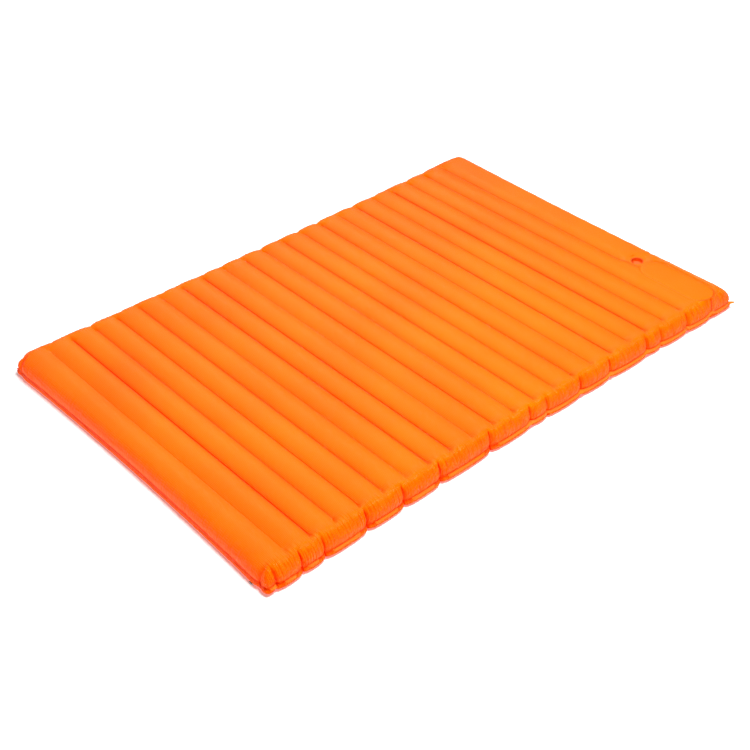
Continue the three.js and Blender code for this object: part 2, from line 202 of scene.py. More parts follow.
def coated_taffeta(name, light, deep, roughness=0.46):
    """Plain-woven polyester with a film on its back: a satin face that shades from thread to thread.

    The attributes side and end tell where the cloth gathers into fine ripples that run up from the seam, and
    weld where it is darker: along weld lines, and as painted shade in folds, crease valleys and the seam's
    groove."""
    material, tree = new_material(name)
    place = add(tree, "ShaderNodeTexCoord").outputs["Object"]
    # Slow changes of tone, about 300 mm across, from the dye.
    cloud = add(tree, "ShaderNodeTexNoise", Vector=place, Scale=3.3, Detail=2.0, Roughness=0.5)
    warp = add(tree, "ShaderNodeTexWave", {"bands_direction": "X"}, Vector=place, **WEAVE)
    weft = add(tree, "ShaderNodeTexWave", {"bands_direction": "Y"}, Vector=place, **WEAVE)
    threads = {"_0": warp.outputs["Fac"], "_1": weft.outputs["Fac"]}
    weave = add(tree, "ShaderNodeMath", {"operation": "MULTIPLY"}, **threads)
    tone = add(tree, "ShaderNodeMath", {"operation": "MULTIPLY_ADD"}, _0=weave.outputs[0], _1=0.25)
    tree.links.new(cloud.outputs["Fac"], tone.inputs[2])
    ramp = add(tree, "ShaderNodeValToRGB", Fac=tone.outputs[0])
    ramp.color_ramp.elements[0].position, ramp.color_ramp.elements[1].position = 0.2, 0.95
    ramp.color_ramp.elements[0].color, ramp.color_ramp.elements[1].color = linear(deep), linear(light)
    # The weld attribute darkens weld lines, and paints shade into folds, crease valleys and the seam's
    # groove.
    weld = add(tree, "ShaderNodeAttribute", {"attribute_name": "weld"})
    colour = add(tree, "ShaderNodeMix", {"data_type": "RGBA"}, _0=weld.outputs["Fac"], _6=ramp.outputs[0])
    colour.inputs[7].default_value = linear(WELD_AND_SHADE_COLOUR)
    shine = add(tree, "ShaderNodeMapRange", Value=cloud.outputs["Fac"])
    shine.inputs["To Min"].default_value = roughness - 0.03
    shine.inputs["To Max"].default_value = roughness + 0.05
    # Ripples are long up the side and short along the seam.
    height = weave.outputs[0]
    for field, stretch in RIPPLES.items():
        mask = add(tree, "ShaderNodeAttribute", {"attribute_name": field})
        long_place = add(tree, "ShaderNodeMapping", Vector=place)
        long_place.inputs["Scale"].default_value = stretch
        grain = {"Scale": 1.0, "Detail": 2.0, "Roughness": 0.6}
        ripple = add(tree, "ShaderNodeTexNoise", Vector=long_place.outputs[0], **grain)
        raised = {"_0": ripple.outputs["Fac"], "_1": RIPPLE_HEIGHT}
        deep_ripple = add(tree, "ShaderNodeMath", {"operation": "MULTIPLY"}, **raised)
        masked = add(tree, "ShaderNodeMath", {"operation": "MULTIPLY_ADD"}, _0=deep_ripple.outputs[0])
        tree.links.new(mask.outputs["Fac"], masked.inputs[1])
        tree.links.new(height, masked.inputs[2])
        height = masked.outputs[0]
    bump = add(tree, "ShaderNodeBump", Height=height, Strength=1.0, Distance=FABRIC_BUMP_DEPTH)
    shader = add(
        tree,
        "ShaderNodeBsdfPrincipled",
        Base_Color=colour.outputs[2],
        Roughness=shine.outputs[0],
        Normal=bump.outputs[0],
        IOR=1.42,
        Specular_IOR_Level=0.28,
        Emission_Strength=PAINTED_GLOW_STRENGTH,
    )
    # A constant red emission is painted light: it stands in for light that has gone through the thin cloth,
    # fills the shaded sides with red, and makes the cloth glow even where no lamp reaches it.
    shader.inputs["Emission Color"].default_value = linear(PAINTED_GLOW_COLOUR)
    shader.inputs["Specular Tint"].default_value = linear(HIGHLIGHT_COLOUR)
    close_material(tree, shader)
    return material


def open_foam(name, colour):
    """Open-cell polyurethane foam: matt, with cells about 1.6 mm across."""
    material, tree = new_material(name)
    place = add(tree, "ShaderNodeTexCoord").outputs["Object"]
    cells = add(tree, "ShaderNodeTexVoronoi", Vector=place, Scale=620.0)
    ramp = add(tree, "ShaderNodeValToRGB", Fac=cells.outputs["Distance"])
    ramp.color_ramp.elements[0].color = [c * 0.6 for c in linear(colour)[:3]] + [1]
    ramp.color_ramp.elements[1].color = linear(colour)
    bump = add(tree, "ShaderNodeBump", Height=cells.outputs["Distance"], Strength=0.6, Distance=0.001)
    shader = add(
        tree, "ShaderNodeBsdfPrincipled", Base_Color=ramp.outputs[0], Roughness=0.95, Normal=bump.outputs[0]
    )
    close_material(tree, shader)
    return material


def moulded_plastic(name, colour, roughness, grain_mm):
    """Injection-moulded TPU: an even colour with a fine spark-eroded grain from the mould."""
    material, tree = new_material(name)
    place = add(tree, "ShaderNodeTexCoord").outputs["Object"]
    grain = add(tree, "ShaderNodeTexNoise", Vector=place, Scale=1 / (grain_mm * MM), Detail=2.0)
    cloud = add(tree, "ShaderNodeTexNoise", Vector=place, Scale=60.0, Detail=2.0)
    ramp = add(tree, "ShaderNodeValToRGB", Fac=cloud.outputs["Fac"])
    ramp.color_ramp.elements[0].color = [c * 0.85 for c in linear(colour)[:3]] + [1]
    ramp.color_ramp.elements[1].color = [min(1, c * 1.12) for c in linear(colour)[:3]] + [1]
    shine = add(tree, "ShaderNodeMapRange", Value=grain.outputs["Fac"])
    shine.inputs["To Min"].default_value = roughness - 0.08
    shine.inputs["To Max"].default_value = roughness + 0.08
    bump = add(tree, "ShaderNodeBump", Height=grain.outputs["Fac"], Strength=0.15, Distance=0.0003)
    shader = add(
        tree,
        "ShaderNodeBsdfPrincipled",
        Base_Color=ramp.outputs[0],
        Roughness=shine.outputs[0],
        Normal=bump.outputs[0],
        IOR=1.5,
        Specular_IOR_Level=0.25,
    )
    close_material(tree, shader)
    return material


def studio_paper(name):
    """Matt white background paper with a painted glow: it emits light, faintly near the pad and strongly away
    from it.
    """
    material, tree = new_material(name)
    place = add(tree, "ShaderNodeTexCoord").outputs["Object"]
    cloud = add(tree, "ShaderNodeTexNoise", Vector=place, Scale=3.0, Detail=1.0)
    ramp = add(tree, "ShaderNodeValToRGB", Fac=cloud.outputs["Fac"])
    ramp.color_ramp.elements[0].color, ramp.color_ramp.elements[1].color = linear("F4F4F4"), linear("F8F8F8")
    away = add(tree, "ShaderNodeVectorMath", {"operation": "LENGTH"}, _0=place)
    # Painted glow: the paper's emission grows with distance from the pad, and near the pad lifts the shadows.
    painted_glow = add(tree, "ShaderNodeMapRange", {"interpolation_type": "SMOOTHSTEP"}, Value=away.outputs["Value"])
    painted_glow.inputs["From Min"].default_value, painted_glow.inputs["From Max"].default_value = 1.2, 2.6
    painted_glow.inputs["To Min"].default_value, painted_glow.inputs["To Max"].default_value = 0.22, 1.1
    shader = add(
        tree,
        "ShaderNodeBsdfPrincipled",
        Base_Color=ramp.outputs[0],
        Roughness=0.9,
        Emission_Color=ramp.outputs[0],
        Emission_Strength=painted_glow.outputs[0],
    )
    close_material(tree, shader)
    return material


def set_material(obj, material):
    """Gives an object one material."""
    obj.data.materials.clear()
    obj.data.materials.append(material)


# ------------------------------------------------------------------------------------------------
# Mesh helpers


def deselect():
    """Leaves nothing selected, in object mode."""
    if bpy.context.object and bpy.context.object.mode != "OBJECT":
        bpy.ops.object.mode_set(mode="OBJECT")
    bpy.ops.object.select_all(action="DESELECT")


def select_only(obj):
    """Makes one object the selected and active one."""
    deselect()
    obj.select_set(True)
    bpy.context.view_layer.objects.active = obj


def mesh_object(name, points, faces):
    """An object made from points and faces, in the scene."""
    mesh = bpy.data.meshes.new(name)
    mesh.from_pydata([tuple(p) for p in points], [], faces)
    mesh.validate()
    obj = bpy.data.objects.new(name, mesh)
    bpy.context.scene.collection.objects.link(obj)
    return obj


def apply_modifiers(obj):
    """Applies every modifier of an object."""
    select_only(obj)
    for modifier in list(obj.modifiers):
        bpy.ops.object.modifier_apply(modifier=modifier.name)


def smooth(obj, degrees=40):
    """Smooth shading, with edges sharper than the angle kept crisp."""
    select_only(obj)
    bpy.ops.object.shade_smooth_by_angle(angle=math.radians(degrees))


def smoothstep(low, high, value):
    """0 below low, 1 above high, and smooth between."""
    t = np.clip((value - low) / (high - low), 0, 1)
    return t * t * (3 - 2 * t)


# ------------------------------------------------------------------------------------------------
# The inflated envelope

LENGTH, WIDTH, HEIGHT = (CAD_BOX[1][i] - CAD_BOX[0][i] for i in range(3))
# Air pressure rolls the seam down the side, below the level at which the frame's skins meet.
SEAM_Z = 0.024

# Steps of the grid: across one tube, round an end, round a side, beside it, and along the middle.
TUBE_STEPS = 18
END_STEPS = 16
SIDE_STEPS = 18
NEAR_SIDE_STEPS = 12
MIDDLE_STEPS = 40
NEAR_SIDE = 0.06
# Extra columns either side of each pucker, so that its fold stays narrow.
FOLD_OFFSETS = (-0.0056, -0.0031, -0.0013, 0, 0.0013, 0.0031, 0.0056)
# Even columns keep this far from a fold's, and no two columns are closer than the least step.
FOLD_CLEARANCE = 0.0012
LEAST_STEP = 0.0004
# Extra rows past the pump, which has curves across the tubes.
PUMP_ROW_STEP = 0.009

# How strongly each weld line shows, from the end away from the pump.
CREASE_STRENGTH = (
    0.2, 1.0, 0.8, 0.8, 0.75, 0.5, 0.95, 1.0, 0.5, 0.75, 0.85,
    0.75, 0.6, 1.0, 0.5, 0.9, 0.5, 1.0, 0.7, 0.8, 0.5,
)
# Where the seams gather into puckers: place along the edge, and how deep each is.
NEAR_PUCKERS = (
    (-0.932, 1.0), (-0.846, 0.8), (-0.767, 0.9), (-0.615, 1.2), (-0.479, 1.1), (-0.339, 1.2),
    (-0.140, 1.2), (0.028, 1.2), (0.098, 0.7), (0.247, 1.2), (0.379, 1.1), (0.551, 1.2),
    (0.618, 0.7), (0.745, 0.9), (0.860, 0.8),
)
FAR_PUCKERS = (
    (-0.940, 0.9), (-0.842, 0.7), (-0.702, 1.1), (-0.590, 0.9), (-0.425, 1.2), (-0.262, 1.0),
    (-0.184, 0.7), (-0.020, 1.2), (0.140, 1.1), (0.232, 0.8), (0.392, 1.2), (0.505, 0.9),
    (0.668, 1.2), (0.755, 0.7), (0.930, 0.9),
)
END_PUCKERS = ((-0.604, 1.0), (0.606, 0.9))
# Turn of the side at which the folds begin, and at which they are deepest.
FOLD_TURNS = (0.1, 0.8)


# Distance from the middle line at which the pleats beyond the webs' ends are deepest.
PLEAT_Y = 0.594
PLEAT_DEPTH, PLEAT_LENGTH = 0.005, 0.013


def crease_x(sizes, i):
    """X of crease i."""
    return sizes.first_crease + i * sizes.pitch


def grid_columns(sizes):
    """X, turn and end of each column: turn goes from 0 on a tube to a right angle at the seam."""
    first, last = crease_x(sizes, 0), crease_x(sizes, sizes.creases - 1)
    crest_low, last_crest, crest_high = first - sizes.pitch / 2, last + sizes.pitch / 2, sizes.far_crest
    turns = np.linspace(0, math.pi / 2, END_STEPS + 1)[1:]
    even = np.linspace(crest_low, last_crest, sizes.creases * TUBE_STEPS + 1)
    beyond_last = np.linspace(last_crest, crest_high, TUBE_STEPS // 2 + 1)[1:]
    even = np.concatenate([even, beyond_last])
    folds = [at + offset for at, _ in NEAR_PUCKERS + FAR_PUCKERS for offset in FOLD_OFFSETS]
    folds = [x for x in folds if crest_low < x < crest_high]
    spare = [x for x in even if min(abs(x - f) for f in folds) > FOLD_CLEARANCE]
    straight = np.array(sorted(set(np.round(spare + folds, 5))))
    straight = straight[np.concatenate([[True], np.diff(straight) > LEAST_STEP])]
    x = np.concatenate([np.full(END_STEPS, crest_low), straight, np.full(END_STEPS, crest_high)])
    turn = np.concatenate([turns[::-1], np.zeros(len(straight)), turns])
    end = np.concatenate([np.full(END_STEPS, -1.0), np.zeros(len(straight)), np.full(END_STEPS, 1.0)])
    return x, turn, end


def grid_rows(sizes):
    """Y, turn and end of each row, as grid_columns does it."""
    straight_y = WIDTH / 2 - sizes.margin - sizes.side_round
    turns = np.linspace(0, math.pi / 2, SIDE_STEPS + 1)[1:]
    near = np.linspace(straight_y - NEAR_SIDE, straight_y, NEAR_SIDE_STEPS + 1)
    middle = np.linspace(-straight_y + NEAR_SIDE, straight_y - NEAR_SIDE, MIDDLE_STEPS + 1)[1:-1]
    pump_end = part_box("pump_intake_seat")[1].y + 0.03
    beside_pump = np.arange(-straight_y + NEAR_SIDE + PUMP_ROW_STEP, pump_end, PUMP_ROW_STEP)
    middle = np.concatenate([beside_pump, middle[middle > pump_end + PUMP_ROW_STEP / 2]])
    straight = np.concatenate([-near[::-1], middle, near])
    y = np.concatenate([np.full(SIDE_STEPS, -straight_y), straight, np.full(SIDE_STEPS, straight_y)])
    turn = np.concatenate([turns[::-1], np.zeros(len(straight)), turns])
    end = np.concatenate([np.full(SIDE_STEPS, -1.0), np.zeros(len(straight)), np.full(SIDE_STEPS, 1.0)])
    return y, turn, end


def crease_drop(sizes, x, y, depth, under):
    """How far the skin drops below a tube's crest, from the weld lines on either side."""
    strength = np.array(CREASE_STRENGTH)
    if under:
        strength = 0.7 + 0.3 * strength[::-1]
    place = (x - crease_x(sizes, 0)) / sizes.pitch
    nearest = np.clip(np.rint(place), 0, sizes.creases - 1).astype(int)
    away = np.clip(np.abs(place - nearest) * 2, 0, 1)
    tube = (1 - away) ** 2 * (0.9 + 0.1 * strength[nearest])
    weld = 0.1 * strength[nearest] * np.exp(-away / 0.06)
    drop = depth * (0.9 * tube + weld)
    # Past the web's end the skin is drawn down in a short, sharp pleat.
    pleat = np.exp(-(((np.abs(y) - PLEAT_Y) / PLEAT_LENGTH) ** 2)) * np.exp(-away / 0.1)
    drop = drop + PLEAT_DEPTH * strength[nearest] * pleat
    if not under:
        # The last weld line stops at the pump.
        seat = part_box("pump_intake_seat")
        beside = nearest == sizes.creases - 1
        drop = drop * np.where(beside, smoothstep(seat[1].y - 0.02, seat[1].y + 0.04, y), 1)
    return drop


# A fold's width, the width over which it spreads, and the distance between folds that gives a full lobe.
FOLD_WIDTH, SPREAD_WIDTH, FULL_LOBE = 0.0026, 0.015, 0.15


def gather(along, places):
    """The folds and the lobes between them, at places along an edge."""
    at = np.array([p for p, _ in places])
    depth = np.array([d for _, d in places])
    fold, broad = np.zeros_like(along), np.zeros_like(along)
    for place, share in zip(at, depth):
        fold = np.maximum(fold, share * np.exp(-np.abs(along - place) / FOLD_WIDTH))
        broad = broad + share * np.exp(-(((along - place) / SPREAD_WIDTH) ** 2))
    after = np.clip(np.searchsorted(at, along), 1, len(at) - 1)
    span = at[after] - at[after - 1]
    share = np.clip((along - at[after - 1]) / span, 0, 1)
    lobe = 4 * share * (1 - share) * np.clip(span / FULL_LOBE, 0.3, 1.1)
    return fold, broad, lobe


def stadium_distance(x, y):
    """Distance outside the pump panel's outline, negative inside it."""
    centre, half, low_y, high_y = pump_outline_box()
    over = np.abs(y - (low_y + high_y) / 2) - ((high_y - low_y) / 2 - half)
    return np.hypot(x - centre, np.maximum(over, 0)) - half


# Heights of the weld round the pump panel, and of the hollow round the intake, which fades over DIMPLE_FADE.
PUMP_RIM_Z = 0.0768
DIMPLE_Z = 0.0752
DIMPLE_FADE = 0.03
# The skin levels out towards the pump panel between these distances from its weld.
PUMP_FADE = (0.001, 0.02)
# A bead stands outside the weld: its height, distance and half width.
BEAD_HEIGHT, BEAD_AWAY, BEAD_WIDTH = 0.0042, 0.007, 0.004
# The fold beyond the intake: offset in Y, slope, depth, half width, and the X range over which it ends.
INTAKE_FOLD_OFFSET, INTAKE_FOLD_SLOPE, INTAKE_FOLD_DEPTH = 0.012, 0.12, 0.0035
INTAKE_FOLD_HALF, INTAKE_FOLD_END = 0.006, (0.93, 0.955)
# Distance from the pump's weld within which the side folds die out.
PUMP_CLEAR = (0.004, 0.03)
# How far past the webs' ends the creases fade and hook away from the pump, and how far they hook.
CREASE_FADE, HOOK = (-0.004, 0.06), 0.02
# Share of a fold's depth that spreads beside it, and of its pull inwards that it adds to the height.
SPREAD_SHARE, LIFT_SHARE = 0.35, 0.8
# Height above and below the seam within which it is drawn in.
SEAM_REACH = 0.007

# Powers of sine and cosine in the rounding of the sides and ends: 1 is an ellipse, and less is boxier.
SIDE_POWER, END_POWER, UNDER_POWER = 0.88, 0.96, 0.5


def skin_points(sizes, columns, rows, under):
    """The grid of points of one inflated skin."""
    cx, cturn, cend = (a[:, None] for a in columns)
    ry, rturn, rend = (a[None, :] for a in rows)
    side_power, end_power = (UNDER_POWER, UNDER_POWER) if under else (SIDE_POWER, END_POWER)
    a = np.sin(cturn) ** end_power * np.ones_like(rturn)
    b = np.sin(rturn) ** side_power * np.ones_like(cturn)
    round_a, round_b = a * np.sqrt(1 - sizes.corner * b**2 / 2), b * np.sqrt(1 - sizes.corner * a**2 / 2)
    y_over = (ry + rend * b * (WIDTH / 2 - np.abs(ry))) / (WIDTH / 2)
    foot_x = LENGTH / 2 - sizes.margin - sizes.end_bow * (1 - y_over**2)
    x = cx + (cend * foot_x - cx) * round_a
    foot_y = WIDTH / 2 - sizes.margin - sizes.side_bow * (1 - (x / (LENGTH / 2)) ** 2)
    y = ry + (rend * foot_y - ry) * round_b
    depth = sizes.under_depth if under else sizes.crease_depth
    past_web = smoothstep(sizes.web_end + CREASE_FADE[0], sizes.web_end + CREASE_FADE[1], np.abs(y))
    hook, fade = HOOK * past_web, 1 - past_web
    drop = crease_drop(sizes, x + hook, y, depth, under) * fade * np.cos(cturn) ** 0.5
    crown = 0 if under else HEIGHT
    share = np.cos(cturn) ** end_power * np.cos(rturn) ** side_power
    z = SEAM_Z + (crown - SEAM_Z) * share + (drop if under else -drop) * share
    if not under:
        outside = stadium_distance(x, y)
        near_panel = 1 - smoothstep(*PUMP_FADE, outside)
        bead = np.exp(-(((outside - BEAD_AWAY) / BEAD_WIDTH) ** 2))
        z = z + (PUMP_RIM_Z - z) * near_panel + BEAD_HEIGHT * bead
        low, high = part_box("pump_intake_seat")
        centre, radius = (low + high) / 2, (high.x - low.x) / 2
        reach = np.hypot(x - centre.x, (y - centre.y))
        z = z + (DIMPLE_Z - z) * (1 - smoothstep(radius, radius + DIMPLE_FADE, reach))
        # A fold runs from the dimple to the pad's end.
        across = y - (centre.y - INTAKE_FOLD_OFFSET) - INTAKE_FOLD_SLOPE * (x - centre.x)
        along_fold = smoothstep(centre.x + radius, centre.x + radius + 0.01, x)
        along_fold = along_fold * (1 - smoothstep(*INTAKE_FOLD_END, x))
        z = z - INTAKE_FOLD_DEPTH * np.exp(-((across / INTAKE_FOLD_HALF) ** 2)) * along_fold
    # The seams draw in at their folds, and swell in lobes between them.
    side_share, end_share = smoothstep(*FOLD_TURNS, rturn), smoothstep(*FOLD_TURNS, cturn)
    near, far = gather(x, NEAR_PUCKERS), gather(x, FAR_PUCKERS)
    fold, broad, lobe = (np.where(rend < 0, n, f) for n, f in zip(near, far))
    inward = sizes.pinch * (fold + SPREAD_SHARE * broad) * side_share
    inward = inward - sizes.lobe * lobe * smoothstep(0.2, 1.3, rturn)
    if not under:
        # They leave the pump's weld alone.
        inward = inward * smoothstep(*PUMP_CLEAR, stadium_distance(x, y))
    y = y - rend * inward * np.sin(rturn)
    z = z + (1 if under else -1) * inward * np.cos(rturn) * (rturn > 0) * LIFT_SHARE
    fold, broad, lobe = gather(y, END_PUCKERS)
    inward = sizes.pinch * (fold + SPREAD_SHARE * broad) * end_share * np.ones_like(y)
    x = x - cend * inward * np.sin(cturn)
    # The seam itself is drawn in behind the two bulges.
    height = np.clip(np.abs(z - SEAM_Z) / (SEAM_Z if under else HEIGHT - SEAM_Z), 0, 1)
    swell = (sizes.under_swell if under else sizes.swell) * np.sin(math.pi * height)
    draw = sizes.seam_draw * np.exp(-(((z - SEAM_Z) / SEAM_REACH) ** 2)) - swell
    y = y - rend * draw * (rturn > 0)
    x = x - cend * draw * (cturn > 0)
    return np.stack([x, y, z], -1)


def envelope_mesh(sizes):
    """The closed inflated envelope, its seam in order, and where it gathers and is welded."""
    columns, rows = grid_columns(sizes), grid_rows(sizes)
    top = skin_points(sizes, columns, rows, False)
    bottom = skin_points(sizes, columns, rows, True)
    nc, nr = top.shape[:2]
    index_top = np.arange(nc * nr).reshape(nc, nr)
    index_bottom = np.full((nc, nr), -1)
    index_bottom[1:-1, 1:-1] = nc * nr + np.arange((nc - 2) * (nr - 2)).reshape(nc - 2, nr - 2)
    index_bottom = np.where(index_bottom < 0, index_top, index_bottom)
    points = np.concatenate([top.reshape(-1, 3), bottom[1:-1, 1:-1].reshape(-1, 3)])

    def quads(index, flip):
        corners = (index[:-1, :-1], index[1:, :-1], index[1:, 1:], index[:-1, 1:])
        order = corners[::-1] if flip else corners
        return np.stack([c.ravel() for c in order], -1)

    faces = np.concatenate([quads(index_top, False), quads(index_bottom, True)])
    seam = np.concatenate(
        [index_top[:-1, 0], index_top[-1, :-1], index_top[:0:-1, -1], index_top[0, :0:-1]]
    )
    ones = np.ones((nc, nr))
    cturn, rturn = columns[1][:, None] * ones, rows[1][None, :] * ones
    place = (top[..., 0] - crease_x(sizes, 0)) / sizes.pitch
    away = np.abs(place - np.clip(np.rint(place), 0, sizes.creases - 1))
    beyond = smoothstep(sizes.web_end, PLEAT_Y + 0.02, np.abs(top[..., 1]))
    # Painted shade in the puckers' folds: they are darkened like weld lines.
    near_fold_shade, far_fold_shade = (gather(top[..., 0], places)[0] for places in (NEAR_PUCKERS, FAR_PUCKERS))
    folds = np.where(top[..., 1] < 0, near_fold_shade, far_fold_shade)
    folds = folds * smoothstep(*FOLD_TURNS, rturn)
    folds = np.maximum(folds, gather(top[..., 1], END_PUCKERS)[0] * smoothstep(*FOLD_TURNS, cturn))
    # These darken the weld lines at the creases and the seam, and paint shade into them: the seam's groove
    # and a broad band down each crease's valley are painted shade.
    seam_weld_and_shade = np.exp(-(((top[..., 2] - SEAM_Z) / 0.003) ** 2))
    line = np.maximum(np.exp(-((away / 0.02) ** 2)), 0.3 * np.exp(-((away / 0.13) ** 2)))
    crease_weld_and_shade = line * (1 - beyond) * np.array(CREASE_STRENGTH)[
        np.clip(np.rint(place), 0, sizes.creases - 1).astype(int)
    ]
    panel_line = 0.4 * np.exp(-((stadium_distance(top[..., 0], top[..., 1]) / 0.004) ** 2))
    crease_weld_and_shade = np.maximum(crease_weld_and_shade, panel_line)
    # The weld field darkens weld lines and is painted shade in the folds, the crease valleys and the seam's
    # groove.
    fields = {
        "side": np.maximum(smoothstep(0.1, 0.7, rturn), 0.35 * beyond),
        "end": 0.25 * smoothstep(0.2, 1.0, cturn) * (rturn == 0),
        "weld": np.clip(np.maximum(np.maximum(folds, 0.8 * seam_weld_and_shade), 0.95 * crease_weld_and_shade), 0, 1),
        "held": 1 - np.maximum(smoothstep(0.0, 0.25, rturn), smoothstep(0.15, 0.4, cturn)),
    }
    fields["held"][0], fields["held"][-1], fields["held"][:, 0], fields["held"][:, -1] = 1, 1, 1, 1
    flat = {name: np.concatenate([f.ravel(), f[1:-1, 1:-1].ravel()]) for name, f in fields.items()}
    return points, faces.tolist(), seam, flat


def weight_group(obj, name, weights):
    """Adds a vertex group whose weights are rounded to tenths."""
    group = obj.vertex_groups.new(name=name)
    tenths = np.rint(weights * 10).astype(int)
    for tenth in range(1, 11):
        group.add(np.nonzero(tenths == tenth)[0].tolist(), tenth / 10, "REPLACE")


SIMULATED_FRAMES = 14
MOST_MOVEMENT = 0.007
START_NOISE, MOST_NOISE = 0.0004, 0.001
# Light, limp cloth, in the simulation's own units, tuned.
CLOTH_STIFFNESS, SHEAR_STIFFNESS, BENDING_STIFFNESS, CLOTH_MASS = 60, 8, 0.005, 0.1
AIR_PRESSURE = 4
# Growth of the loose cloth, as a share of its size.
CLOTH_GROWTH = 0.16
ROUND_STEPS = 96
# Gap between the skin and the valves and tray.
FIT_GAP, TRAY_GAP = 0.0003, 0.0002
# How far a cut runs past the pad.
CUT_SPARE = 0.05
# The valve's recess ends above its base, and a narrower bore leaves room for its flap at full swing.
VALVE_CUT_TOP = 0.0175
FLAP_BORE_TOP = 0.036
FLAP_CLEARANCE = 0.0015
# The intake's recess ends below its flap at full swing.
INTAKE_CUT_BOTTOM = 0.034


def inflate(obj, held, loose, cap):
    """Shapes the loose fabric by a cloth simulation under air pressure, no point moving past the cap."""
    start = np.array([v.co for v in obj.data.vertices])
    draws = np.random.default_rng(3)
    # A little unevenness at the start lets the cloth wrinkle.
    start += (draws.normal(0, START_NOISE, start.shape) * (1 - held)[:, None]).clip(-MOST_NOISE, MOST_NOISE)
    obj.data.vertices.foreach_set("co", start.ravel())
    weight_group(obj, "held", held)
    weight_group(obj, "loose", loose)
    cloth = obj.modifiers.new("air", "CLOTH")
    settings = cloth.settings
    settings.quality = 4
    settings.mass = CLOTH_MASS
    settings.tension_stiffness = settings.compression_stiffness = CLOTH_STIFFNESS
    settings.shear_stiffness = SHEAR_STIFFNESS
    settings.bending_stiffness = BENDING_STIFFNESS
    settings.use_pressure = True
    settings.uniform_pressure_force = AIR_PRESSURE
    settings.effector_weights.gravity = 0
    settings.vertex_group_mass = "held"
    settings.vertex_group_shrink = "loose"
    settings.shrink_min = 0
    settings.shrink_max = -CLOTH_GROWTH
    cloth.collision_settings.use_collision = False
    scene = bpy.context.scene
    cloth.point_cache.frame_start, cloth.point_cache.frame_end = 1, SIMULATED_FRAMES
    for frame_number in range(1, SIMULATED_FRAMES + 1):
        scene.frame_set(frame_number)
    apply_modifiers(obj)
    scene.frame_set(1)
    end = np.array([v.co for v in obj.data.vertices])
    move = end - start
    far = np.linalg.norm(move, axis=1)[:, None]
    end = start + move * np.minimum(1, cap / np.maximum(far, 1e-9))
    obj.data.vertices.foreach_set("co", end.ravel())
    obj.data.update()
    obj.vertex_groups.clear()


def round_block(name, radius, centre, low, high):
    """A closed upright cylinder between two heights."""
    deselect()
    place = (centre.x, centre.y, (low + high) / 2)
    # Half a step of turn puts no vertex on the line across its middle.
    turn = (0, 0, math.pi / ROUND_STEPS)
    bpy.ops.mesh.primitive_cylinder_add(
        vertices=ROUND_STEPS, radius=radius, depth=high - low, location=place, rotation=turn
    )
    block = bpy.context.object
    block.name = block.data.name = name
    bpy.ops.object.transform_apply(location=True, rotation=True, scale=True)
    return block


def stadium_block(name, half_width, low_y, high_y, x, low, high):
    """A cylinder pulled out along Y into a block with round ends."""
    centre = Vector((x, (low_y + high_y) / 2, 0))
    block = round_block(name, half_width, centre, low, high)
    stretch = (high_y - low_y) / 2 - half_width
    for way in (-1, 1):
        select_points(block, lambda point: (point.y - centre.y) * way > 0)
        bpy.ops.object.mode_set(mode="EDIT")
        bpy.ops.transform.translate(value=(0, way * stretch, 0))
        bpy.ops.object.mode_set(mode="OBJECT")
    return block


def select_points(obj, wanted):
    """Selects the vertices whose place passes the test."""
    select_only(obj)
    bpy.ops.object.mode_set(mode="EDIT")
    bpy.ops.mesh.select_mode(type="VERT")
    bpy.ops.mesh.select_all(action="DESELECT")
    bpy.ops.object.mode_set(mode="OBJECT")
    for vertex in obj.data.vertices:
        vertex.select = bool(wanted(vertex.co))


def stadium_outline(half_width, low_y, high_y, x, steps=20):
    """Points round a stadium that is long in Y."""
    turn = np.linspace(0, math.pi, steps + 1)
    far = [(x + half_width * math.cos(t), high_y - half_width + half_width * math.sin(t)) for t in turn]
    near = [(x - half_width * math.cos(t), low_y + half_width - half_width * math.sin(t)) for t in turn]
    return far + near


def pump_outline_box():
    """Centre X, half width, and lowest and highest Y of the pump panel's opening."""
    low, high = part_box("pump_panel")
    clearance = 0.0008
    return (low.x + high.x) / 2, (high.x - low.x) / 2 + clearance, low.y - clearance, high.y + clearance


def cut(obj, tool):
    """Takes the tool's volume away from an object, and removes the tool."""
    modifier = obj.modifiers.new("cut", "BOOLEAN")
    modifier.operation, modifier.object, modifier.solver = "DIFFERENCE", tool, "EXACT"
    apply_modifiers(obj)
    bpy.data.objects.remove(tool)


